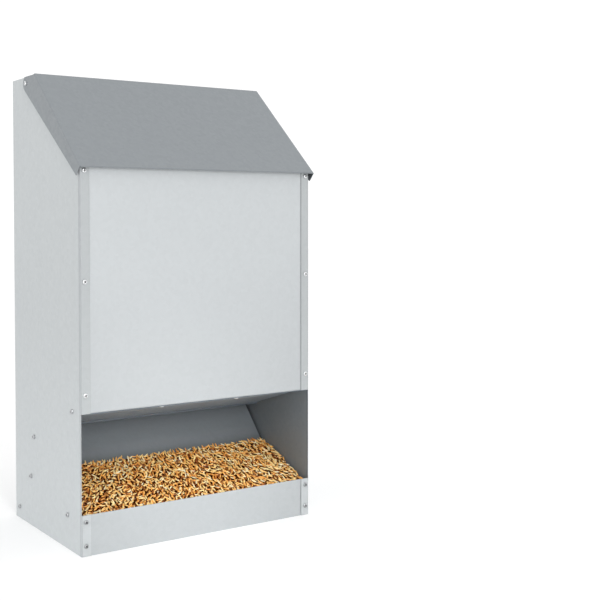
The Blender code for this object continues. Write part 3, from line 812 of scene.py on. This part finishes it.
def bed_grid(shape):
    """Corners of the bed's uneven top, column by column from left to right."""
    front, back = FEED_FRONT[0], FEED_BACK[0] - BED_BACK_GAP
    grid = []
    for column in range(BED_COLUMNS + 1):
        x = -WALL + BED_GAP + (2 * WALL - 2 * BED_GAP) * column / BED_COLUMNS
        line = []
        for row in range(BED_ROWS + 1):
            y = front + (back - front) * row / BED_ROWS
            z = bed_height(x, y) - BED_DEPTH + rng.uniform(-BED_ROUGHNESS, BED_ROUGHNESS)
            line.append(shape.verts.new((x, y, max(z, baffle_height(y) + BAFFLE_SKIN))))
        grid.append(line)
    return grid


def feed_bed():
    """The mass of feed below the top kernels: an uneven top on the wedge that fills the trough."""
    shape = bmesh.new()
    grid = bed_grid(shape)
    for near, far in zip(grid, grid[1:]):
        for row in range(BED_ROWS):
            shape.faces.new((near[row], far[row], far[row + 1], near[row + 1]))
    floor_z = min(v.co.z for v in nodes["feed_grain"].data.vertices)
    keel = ((FEED_FRONT[0], floor_z), BAFFLE_FOOT)
    lower = [[shape.verts.new((line[0].co.x, y, z)) for y, z in keel] for line in grid]
    for column in range(BED_COLUMNS):
        near, far = lower[column], lower[column + 1]
        shape.faces.new((grid[column][0], near[0], far[0], grid[column + 1][0]))
        shape.faces.new((near[0], near[1], far[1], far[0]))
        shape.faces.new((near[1], grid[column][-1], grid[column + 1][-1], far[1]))
    for line, ends in ((grid[0], lower[0]), (grid[-1], lower[-1])):
        shape.faces.new([*line, ends[1], ends[0]])
    made = finished("feed_bed", shape, MEAL, "feed", BED_SMOOTH)
    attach(made, "housing")
    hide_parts("feed_grain")


# ---------------------------------------------------------------- kernels
KERNEL_SIDES = 6
# Place along a kernel, and part of its girth, at each ring
KERNEL_RINGS = ((0.10, 0.50), (0.34, 0.98), (0.64, 0.94), (0.90, 0.46))
KERNEL_LENGTH = (0.0088, 0.0114)
KERNEL_GIRTH = (0.0023, 0.0029)
# Parts of the girth by which a kernel bends in its middle, and of its width that is its height
KERNEL_BEND = 0.22
KERNEL_FLATNESS = 0.84
# A direction with less than this across it counts as upright
UPRIGHT = 0.01
LIP_BACK = 0.0050
# Kernel ends stay this many radii over the baffle
BAFFLE_CLEARANCE = 1.3
# Headings in degrees: the mean, its change per metre across the trough, and the spread
HEADING, HEADING_DRIFT, HEADING_SPREAD = 78, 220, 38
KERNEL_SPACING = 0.0058
# Parts of the spacing: from row to row, and how far a kernel is moved at random
ROW_STEP = 0.87
SCATTER = 0.5
UNEVENNESS = 0.0005
PAST_BACK = 0.002
TRIES = 12
# Heights over and under the feed's surface that the husk's painted shade covers
LIFT_RANGE = 0.0032
# How far each layer is sunk, and how much its kernels tilt
LOWER_SINK, LOWER_TILT = 0.0026, math.radians(12)
UPPER_SINK, UPPER_TILT = -0.0004, math.radians(13)


def kernel_points(centre, direction, length, girth, roll):
    """Points of one kernel, each with its place around and along for the husk."""
    side = direction.cross(Vector((0, 0, 1)))
    side = side.normalized() if side.length > UPRIGHT else Vector((1, 0, 0))
    lift = side.cross(direction)
    spots = [(centre - direction * length / 2, (0.0, 0.0))]
    for along, swell in KERNEL_RINGS:
        bend = lift * girth * KERNEL_BEND * math.sin(math.pi * along)
        middle = centre + direction * length * (along - 0.5) - bend
        reach = girth * swell / 2
        for step in range(KERNEL_SIDES):
            angle = roll + math.tau * step / KERNEL_SIDES
            point = middle + side * reach * math.cos(angle) + lift * reach * KERNEL_FLATNESS * math.sin(angle)
            spots.append((point, (step / KERNEL_SIDES, along)))
    spots.append((centre + direction * length / 2, (0.0, 1.0)))
    return spots


def kernel_faces():
    """Corner indices of one kernel's faces."""
    last = 1 + KERNEL_SIDES * len(KERNEL_RINGS)
    top = last - KERNEL_SIDES
    faces = []
    for step in range(KERNEL_SIDES):
        after = (step + 1) % KERNEL_SIDES
        faces.append((0, 1 + after, 1 + step))
        for low in range(1, top, KERNEL_SIDES):
            high = low + KERNEL_SIDES
            faces.append((low + step, low + after, high + after, high + step))
        faces.append((top + step, top + after, last))
    return faces


def inside(point, radius):
    """Whether a kernel's end lies within the walls, behind the lip and above the baffle."""
    return (abs(point.x) < WALL - radius and point.y > BODY_FRONT + LIP_BACK + radius
            and point.z > baffle_height(point.y) + radius * BAFFLE_CLEARANCE)


def random_kernel(x, y, sink, tilt):
    """Points of a loose kernel near (x, y), or None if it would stick into the sheets."""
    length = rng.uniform(*KERNEL_LENGTH)
    girth = rng.uniform(*KERNEL_GIRTH)
    heading = rng.gauss(math.radians(HEADING + HEADING_DRIFT * x), math.radians(HEADING_SPREAD))
    pitch = math.atan(SURFACE_RISE) * math.sin(heading) + rng.gauss(0, tilt)
    level = math.cos(pitch)
    direction = Vector((math.cos(heading) * level, math.sin(heading) * level, math.sin(pitch)))
    x += rng.uniform(-SCATTER, SCATTER) * KERNEL_SPACING
    y += rng.uniform(-SCATTER, SCATTER) * KERNEL_SPACING
    centre = Vector((x, y, bed_height(x, y) - sink + rng.uniform(-UNEVENNESS, UNEVENNESS)))
    ends = (centre - direction * length / 2, centre + direction * length / 2)
    if not all(inside(end, girth / 2) for end in ends):
        return None
    return kernel_points(centre, direction, length, girth, rng.uniform(0, 1))


def scattered_kernels(sink, tilt):
    """Kernels over the whole top of the feed, in staggered rows; where one doesn't fit, more are tried."""
    y = BODY_FRONT + LIP_BACK
    stagger = 0
    while y < FEED_BACK[0] + PAST_BACK:
        x = -WALL + stagger
        while x < WALL:
            tries = (random_kernel(x, y, sink, tilt) for _ in range(TRIES))
            kernel = next((points for points in tries if points), None)
            if kernel:
                yield kernel
            x += KERNEL_SPACING
        y += KERNEL_SPACING * ROW_STEP
        stagger = KERNEL_SPACING / 2 - stagger


def kernel_layer(name, sink, tilt):
    """One layer of loose kernels, with the two UV maps that the husk's shading reads."""
    verts, faces, marks = [], [], []
    pattern = kernel_faces()
    for kernel in scattered_kernels(sink, tilt):
        base = len(verts)
        faces += [tuple(base + corner for corner in face) for face in pattern]
        for point, mark in kernel:
            verts.append(point)
            marks.append(mark)
    mesh = bpy.data.meshes.new(name)
    mesh.from_pydata(verts, [], faces)
    for layer in ("kernel", "lift"):
        mesh.uv_layers.new(name=layer)
    around_along, lifts = mesh.uv_layers["kernel"].data, mesh.uv_layers["lift"].data
    for loop in mesh.loops:
        point = verts[loop.vertex_index]
        height = point.z - bed_height(point.x, point.y)
        around_along[loop.index].uv = marks[loop.vertex_index]
        lifts[loop.index].uv = (unit((height + LIFT_RANGE) / (2 * LIFT_RANGE)), 0.5)
    for face in mesh.polygons:
        face.use_smooth = True
    made = placed(name, mesh, HUSK, "feed")
    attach(made, "housing")
    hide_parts("feed_grain")


feed_bed()
kernel_layer("feed_kernels_lower", LOWER_SINK, LOWER_TILT)
kernel_layer("feed_kernels_upper", UPPER_SINK, UPPER_TILT)


# ---------------------------------------------------------------- floor, light and camera
FLOOR_REACH = 12
FLOOR_DROP = 0.0002
WORLD_STRENGTH = 1.08
KEY_PLACE, KEY_AIM, KEY_SIZE, KEY_POWER = (-0.5, -2.3, 0.85), (0, 0, 0.2), (0.7, 0.5), 10
LOW_PLACE, LOW_AIM, LOW_SIZE, LOW_POWER = (-0.40, -1.45, 0.95), (0, -0.09, 0.04), (0.25, 0.2), 0.185
# Beams in degrees
WIDE_BEAM, NARROW_BEAM = 180, 20
CAMERA_PLACE = (-0.8101, -1.5693, 0.4898)
# In degrees: how far it looks down, and its turn from looking along +Y
CAMERA_DOWN, CAMERA_TURN = 1.825, -34.695
SENSOR_WIDTH, LENS = 36, 64.10
# The photo's uprights are nearly parallel, which takes some shift
SHIFT = -0.08


def floor():
    """A plain pale floor under the feeder."""
    shape = bmesh.new()
    bmesh.ops.create_grid(shape, x_segments=1, y_segments=1, size=FLOOR_REACH)
    mesh = bpy.data.meshes.new("floor")
    shape.to_mesh(mesh)
    shape.free()
    made, shader, _, _ = new_material("floor_white")
    shader.inputs["Base Color"].default_value = (0.96, 0.96, 0.96, 1)
    shader.inputs["Roughness"].default_value = 0.9
    shader.inputs["Specular IOR Level"].default_value = 0.1
    mesh.materials.append(made)
    item = bpy.data.objects.new("floor", mesh)
    item.location.z = -FLOOR_DROP
    bpy.context.scene.collection.objects.link(item)


def area_light(name, place_at, aim, size, power, beam):
    """A soft lamp aimed at a point."""
    lamp = bpy.data.lights.new(name, "AREA")
    lamp.shape = "RECTANGLE"
    lamp.size, lamp.size_y = size
    lamp.energy = power
    lamp.spread = math.radians(beam)
    item = bpy.data.objects.new(name, lamp)
    item.location = place_at
    item.rotation_euler = (Vector(aim) - Vector(place_at)).to_track_quat("-Z", "Y").to_euler()
    bpy.context.scene.collection.objects.link(item)


def white_world():
    """Even white light from all around."""
    world = bpy.data.worlds.new("studio")
    world.use_nodes = True
    background = world.node_tree.nodes["Background"]
    background.inputs["Color"].default_value = (1, 1, 1, 1)
    background.inputs["Strength"].default_value = WORLD_STRENGTH
    bpy.context.scene.world = world


def photo_camera():
    """The camera at the photo's viewing angle."""
    camera = bpy.data.cameras.new("camera")
    camera.sensor_width = SENSOR_WIDTH
    camera.lens = LENS
    camera.shift_y = SHIFT
    viewer = bpy.data.objects.new("camera", camera)
    viewer.location = CAMERA_PLACE
    viewer.rotation_euler = (math.radians(90 - CAMERA_DOWN), 0, math.radians(CAMERA_TURN))
    bpy.context.scene.collection.objects.link(viewer)
    bpy.context.scene.camera = viewer


floor()
white_world()
area_light("key", KEY_PLACE, KEY_AIM, KEY_SIZE, KEY_POWER, WIDE_BEAM)
area_light("low", LOW_PLACE, LOW_AIM, LOW_SIZE, LOW_POWER, NARROW_BEAM)
photo_camera()
bpy.context.scene.view_settings.view_transform = "Standard"
